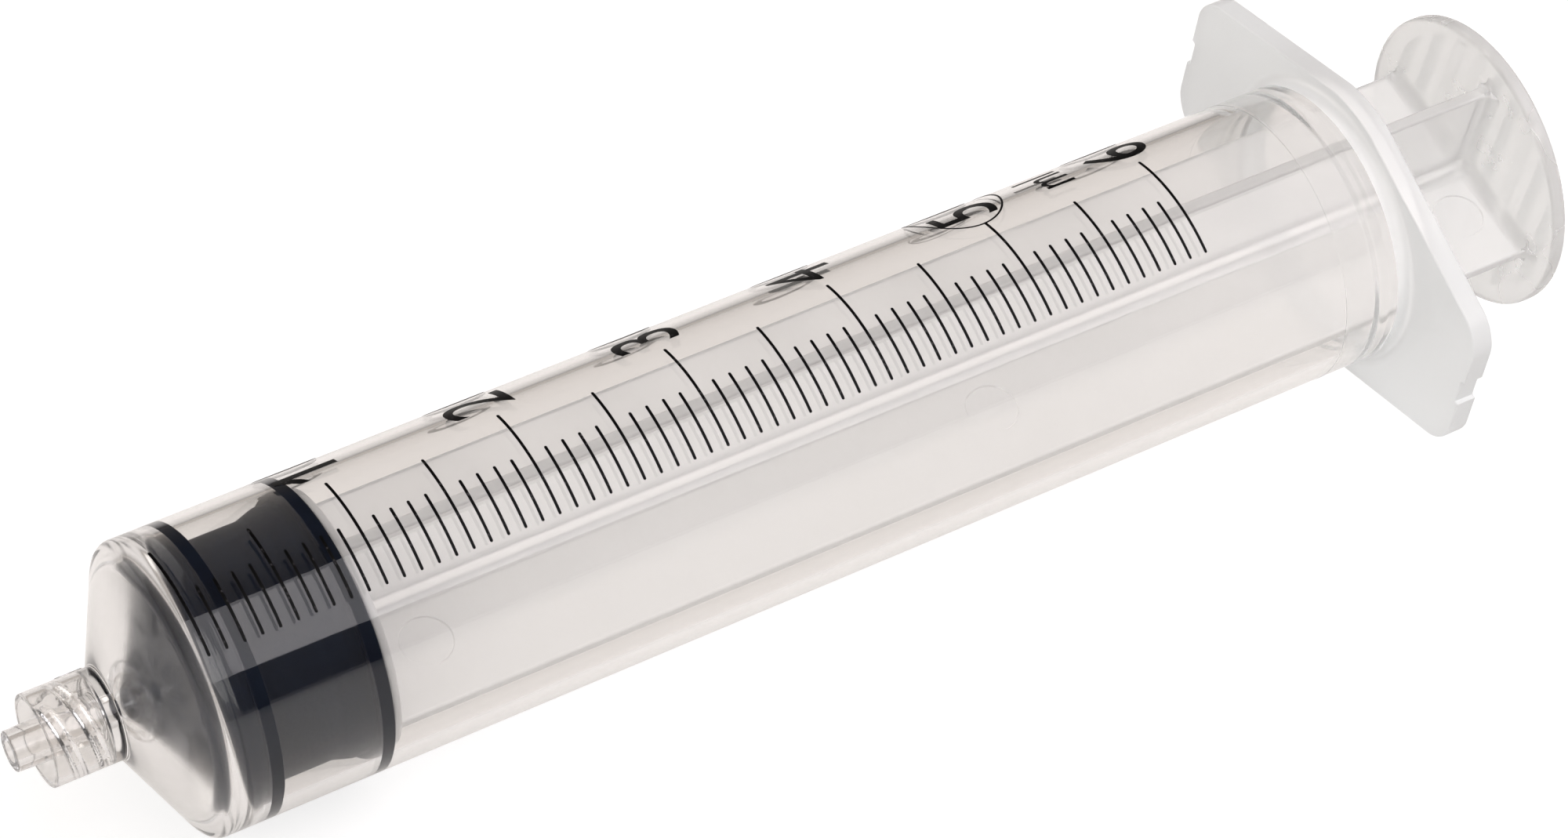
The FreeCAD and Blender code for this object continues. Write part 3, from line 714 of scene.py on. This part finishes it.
def makePlunger(v):
    bm = newSection([
        (v["headFront"], 0.0),
        (v["headFront"], v["headNose"], 0.5, 3),
        (v["headWide"], v["headRadius"], 0.5, 3),
        (v["headBack"], v["headRadius"], 0.3, 3),
        (v["headBack"], v["neckRadius"], 0.4, 3),
        (v["rimX"], v["neckRadius"], 0.4, 3),
        (v["rimX"], v["rimRadius"], v["rimRound"], 3),
        (v["bladeX"], v["rimRadius"], v["rimRound"], 3),
        (v["bladeX"], v["rimRadius"] - v["rimFlat"])])
    addSupports(bm, v["supportGap"])
    turnSection(bm, v["steps"])
    cross = drawCross(v)
    sinkMarks(cross, v)
    absorb(bm, cross)
    absorb(bm, drawDisc(v))
    for x in (v["bladeX"], v["discX"]):
        fillPlane(bm, inPlane(bm, x))
    finishPiece(bm, "milkyPlunger", [milkyMaterial], "plunger_body", "plunger_rod",
                v["turn"])


makePlunger(plunger)

# printed scale, in ink on the barrel; line ends are in degrees round the tube from its top
scale = {
    "radius": 14.662, "thickness": 0.022, "zeroX": 16.65, "pitch": 1.786, "count": 61, "width": 0.3,
    "lowEnd": -46.6, "shortEnd": -20.15, "mediumEnd": -4.75, "longEnd": 3.25, "endRound": 0.96,
    "lineSlice": 0.7, "figureSlice": 0.5,
    "figureStart": 8.75, "figureHeight": 6.5, "figureShift": 2.7, "figureWiden": 1.08, "figureSpace": 1.2,
    "unitX": 117.4, "unitHeight": 4.77, "unitWiden": 0.78, "fontHeight": 0.682,
    "strokeRight": 0.21, "flag": ((-0.03, 0.64), (-0.09, 0.54), (-0.16, 0.47), (-0.16, 0.37), (-0.07, 0.43)),
    "flagFoot": 0.5,
    "ringX": 105.75, "ringY": 5.0, "ringHalfLength": 4.8, "ringHalfWidth": 6.6, "ringLine": 0.22,
}


def wrapRound(bm, radius):
    # flat drawing (x along the axis, y along the surface, z outward) laid round the barrel
    for vert in bm.verts:
        angle = vert.co.y / radius
        r = radius + vert.co.z
        vert.co = Vector((vert.co.x, r * math.sin(angle), r * math.cos(angle)))


def addDrawing(bm, drawing, step, thickness):
    # cut across so that it can bend round the tube, and given its thickness
    low = min(vert.co.y for vert in drawing.verts)
    high = max(vert.co.y for vert in drawing.verts)
    count = int((high - low) / step)
    for index in range(1, count + 1):
        y = low + (high - low) * index / (count + 1)
        bmesh.ops.bisect_plane(drawing, geom=drawing.verts[:] + drawing.edges[:] + drawing.faces[:],
                               plane_co=(0, y, 0), plane_no=(0, 1, 0), dist=1e-6)
    grown = pickVerts(bmesh.ops.extrude_face_region(drawing, geom=drawing.faces[:]))
    bmesh.ops.translate(drawing, vec=(0, 0, thickness), verts=grown)
    absorb(bm, drawing)


def makeLines(v):
    bm = bmesh.new()
    arc = v["radius"] * math.pi / 180
    half = v["width"] / 2
    for index in range(v["count"]):
        end = v["longEnd"] if index % 10 == 0 else v["mediumEnd"] if index % 5 == 0 else v["shortEnd"]
        x = v["zeroX"] + v["pitch"] * index
        low, top = v["lowEnd"] * arc, end * arc
        line = bmesh.new()
        verts = [line.verts.new(corner) for corner in (
            (x - half, low, 0), (x + half, low, 0), (x + half, top, 0), (x - half, top, 0))]
        line.faces.new(verts)
        bmesh.ops.bevel(line, geom=verts, offset=half * v["endRound"], offset_type="OFFSET", segments=3,
                        profile=0.5, affect="VERTICES", material=-1)
        addDrawing(bm, line, v["lineSlice"], v["thickness"])
    wrapRound(bm, v["radius"])
    finishPiece(bm, "scaleLines", [inkMaterial], "barrel_body", weighted=False)


def drawText(body, v, height, widen):
    curve = bpy.data.curves.new("figure", "FONT")
    curve.body = body
    curve.size = 1.0
    curve.space_character = v["figureSpace"] if body.isdigit() else 1.0
    curve.resolution_u = 8
    holder = bpy.data.objects.new("figure", curve)
    bpy.context.scene.collection.objects.link(holder)
    bpy.context.view_layer.update()
    mesh = bpy.data.meshes.new_from_object(holder.evaluated_get(bpy.context.evaluated_depsgraph_get()))
    bpy.data.objects.remove(holder)
    bm = bmesh.new()
    bm.from_mesh(mesh)
    bmesh.ops.remove_doubles(bm, verts=bm.verts[:], dist=1e-4)
    if body.startswith("1"):  # the built-in figure is a bare stroke, so it gets its flag here
        left = min(vert.co.x for vert in bm.verts if vert.co.x < v["strokeRight"])
        flag = [(left, v["flagFoot"]), (left, v["fontHeight"])] + [(left + x, y) for x, y in v["flag"]]
        bm.faces.new([bm.verts.new((x, y, 0)) for x, y in flag])
    left = min(vert.co.x for vert in bm.verts)
    size = height / v["fontHeight"]
    bmesh.ops.translate(bm, vec=(-left, 0, 0), verts=bm.verts[:])
    bmesh.ops.scale(bm, vec=(size * widen, size, 1), verts=bm.verts[:])
    return bm


def layText(text, x, start):
    # letters stand with their feet toward the flange and run up over the tube
    bmesh.ops.rotate(text, matrix=Matrix.Rotation(math.pi / 2, 3, "Z"), verts=text.verts[:])
    bmesh.ops.translate(text, vec=(x, start, 0), verts=text.verts[:])


def drawRing(v, start):
    ring = bmesh.new()
    length, width, line = v["ringHalfLength"], v["ringHalfWidth"], v["ringLine"]
    for size in ((length, width, 1), (length - line, width - line, 1)):
        verts = bmesh.ops.create_circle(ring, cap_ends=False, radius=1, segments=72)["verts"]
        bmesh.ops.scale(ring, vec=size, verts=verts)
    bmesh.ops.bridge_loops(ring, edges=ring.edges[:])
    bmesh.ops.translate(ring, vec=(v["ringX"], start + v["ringY"], 0), verts=ring.verts[:])
    return ring


def makeFigures(v):
    bm = bmesh.new()
    start = v["figureStart"] * math.pi / 180 * v["radius"]
    drawings = []
    for index in range(10, v["count"], 10):
        figure = drawText(str(index), v, v["figureHeight"], v["figureWiden"])
        layText(figure, v["zeroX"] + v["pitch"] * index + v["figureShift"], start)
        drawings.append(figure)
    unit = drawText("ml", v, v["unitHeight"], v["unitWiden"])
    layText(unit, v["unitX"], start)
    for drawing in drawings + [unit, drawRing(v, start)]:
        addDrawing(bm, drawing, v["figureSlice"], v["thickness"])
    wrapRound(bm, v["radius"])
    finishPiece(bm, "scaleFigures", [inkMaterial], "barrel_body", weighted=False)


makeLines(scale)
makeFigures(scale)

# floor, lamps, world and camera; the room is white for the camera and dimmer for glass and mirrors, and the
# floor shows glass and mirrors a painted pool of light round the object
stage = {
    "floorSize": 6.0, "floorZ": -0.01645, "floorColour": 0.5, "floorRoughness": 0.9, "floorSpecular": 0.1,
    # floorThrough, floorGlossy and floorFar, about floorCentre over floorReach, set a painted pool of light on
    # the floor that only glass and mirrors see
    "floorGlow": 0.68, "floorThrough": 0.43, "floorGlossy": 0.5, "floorFar": 0.06,
    "floorTint": (1.0, 0.95, 0.91), "floorCentre": (0.08, 0.05), "floorReach": (0.10, 0.55),
    "roomColour": (1.0, 0.91, 0.84), "worldThrough": 0.48, "worldBehind": 0.1, "behindReach": (-0.3, 0.4),
    "worldGlossy": 0.04, "worldPale": 0.3, "paleSide": (-0.85, 0.52, -0.4), "paleReach": (-0.1, 0.5),
    "worldFill": 0.36, "aim": (0.08, 0, 0),
}

lamps = {
    "keyLamp": {"direction": (0.376, -0.545, 0.75), "distance": 1.15, "size": (1.5, 1.02), "power": 9.3,
                "colour": (1.0, 0.97, 1.0), "glossy": True},
    "backLamp": {"direction": (-0.3, 0.85, 0.6), "distance": 1.6, "size": (1.6, 1.6), "power": 6.0,
                 "colour": (1.0, 0.98, 0.96), "glossy": False},
    "frontLamp": {"direction": (-0.88, -0.45, 0.2), "distance": 1.4, "size": (1.2, 1.2), "power": 11.0,
                  "colour": (1.0, 0.99, 0.98), "glossy": False},
}

view = {
    "lens": 118.32, "sensor": 36.0, "clip": (0.01, 20.0), "place": (-0.104490, -0.359338, 0.288399),
    "angles": (54.60870421, 4.37744597, -30.50208467),
}


def pickByRay(tree, camera, through, glossy, otherwise):
    # one value each for the camera, for glass, for mirrors, and for the light given to soft surfaces
    path = addNode(tree, "ShaderNodeLightPath").outputs
    clear = addNode(tree, "ShaderNodeMath", {0: path["Is Transmission Ray"], 1: path["Diffuse Depth"]},
                    operation="SUBTRACT", use_clamp=True)
    value = otherwise
    for factor, other in ((path["Is Glossy Ray"], glossy), (clear.outputs["Value"], through),
                          (path["Is Camera Ray"], camera)):
        value = addNode(tree, "ShaderNodeMix", {0: factor, 2: value, 3: other}, data_type="FLOAT").outputs[0]
    return value


def whiteForCamera(tree, tint):
    path = addNode(tree, "ShaderNodeLightPath").outputs
    return mixColours(tree, path["Is Camera Ray"], tint, (1, 1, 1))


def makeFloor(v):
    bm = bmesh.new()
    bmesh.ops.create_grid(bm, x_segments=2, y_segments=2, size=v["floorSize"] / 2)
    bmesh.ops.translate(bm, vec=(0, 0, v["floorZ"]), verts=bm.verts[:])
    mesh = bpy.data.meshes.new("floor")
    bm.to_mesh(mesh)
    bm.free()
    material = bpy.data.materials.new("paleFloor")
    material.use_nodes = True
    tree = material.node_tree
    shader = tree.nodes["Principled BSDF"]
    shader.inputs["Base Color"].default_value = (*(v["floorColour"],) * 3, 1)
    shader.inputs["Roughness"].default_value = v["floorRoughness"]
    shader.inputs["Specular IOR Level"].default_value = v["floorSpecular"]
    place = addNode(tree, "ShaderNodeTexCoord")
    # painted pool of light: for rays through glass and for mirrors the floor glows brightest round the object
    # and fades to floorFar farther out
    away = addNode(tree, "ShaderNodeVectorMath", {
        0: place.outputs["Object"], 1: (*v["floorCentre"], v["floorZ"])}, operation="DISTANCE").outputs["Value"]
    paintedPoolThrough = addRange(tree, away, v["floorThrough"], v["floorFar"], v["floorReach"])
    shine = addRange(tree, away, v["floorGlossy"], v["floorFar"], v["floorReach"])
    tree.links.new(pickByRay(tree, v["floorGlow"], paintedPoolThrough, shine, 0.0), shader.inputs["Emission Strength"])
    tree.links.new(whiteForCamera(tree, v["floorTint"]), shader.inputs["Emission Color"])
    mesh.materials.append(material)
    floor = bpy.data.objects.new("floor", mesh)
    bpy.context.scene.collection.objects.link(floor)


def makeLamp(name, v, aim):
    lamp = bpy.data.lights.new(name, "AREA")
    lamp.shape = "RECTANGLE"
    lamp.size, lamp.size_y = v["size"]
    lamp.energy = v["power"]
    lamp.color = v["colour"]
    holder = bpy.data.objects.new(name, lamp)
    away = Vector(v["direction"]).normalized()
    holder.location = Vector(aim) + away * v["distance"]
    across = Vector((1, 0, 0))
    side = (across - across.dot(away) * away).normalized()
    holder.rotation_mode = "QUATERNION"
    holder.rotation_quaternion = Matrix((side, away.cross(side), away)).transposed().to_quaternion()
    holder.visible_glossy = v["glossy"]
    bpy.context.scene.collection.objects.link(holder)


def makeWorld(v):
    world = bpy.data.worlds.new("studio")
    bpy.context.scene.world = world
    world.use_nodes = True
    tree = world.node_tree
    background = tree.nodes["Background"]
    direction = addNode(tree, "ShaderNodeTexCoord").outputs["Generated"]
    side = addNode(tree, "ShaderNodeVectorMath", {0: direction, 1: v["paleSide"]}, operation="DOT_PRODUCT")
    pale = addRange(tree, side.outputs["Value"], v["worldGlossy"], v["worldPale"], v["paleReach"])
    back = addNode(tree, "ShaderNodeSeparateXYZ", {"Vector": direction})
    through = addRange(tree, back.outputs["Y"], v["worldBehind"], v["worldThrough"], v["behindReach"])
    tree.links.new(pickByRay(tree, 1.0, through, pale, v["worldFill"]), background.inputs["Strength"])
    tree.links.new(whiteForCamera(tree, v["roomColour"]), background.inputs["Color"])


def makeCamera(v):
    camera = bpy.data.cameras.new("camera")
    camera.lens = v["lens"]
    camera.sensor_width = v["sensor"]
    camera.clip_start, camera.clip_end = v["clip"]
    holder = bpy.data.objects.new("camera", camera)
    holder.location = v["place"]
    holder.rotation_euler = [math.radians(angle) for angle in v["angles"]]
    bpy.context.scene.collection.objects.link(holder)
    bpy.context.scene.camera = holder


makeFloor(stage)
for name, values in lamps.items():
    makeLamp(name, values, stage["aim"])
makeWorld(stage)
makeCamera(view)
scene = bpy.context.scene
scene.view_settings.view_transform = "Standard"
scene.cycles.max_bounces = 24
scene.cycles.glossy_bounces = 16
scene.cycles.transmission_bounces = 20
scene.cycles.transparent_max_bounces = 24
scene.cycles.caustics_reflective = False
scene.cycles.caustics_refractive = True
print("stage set")
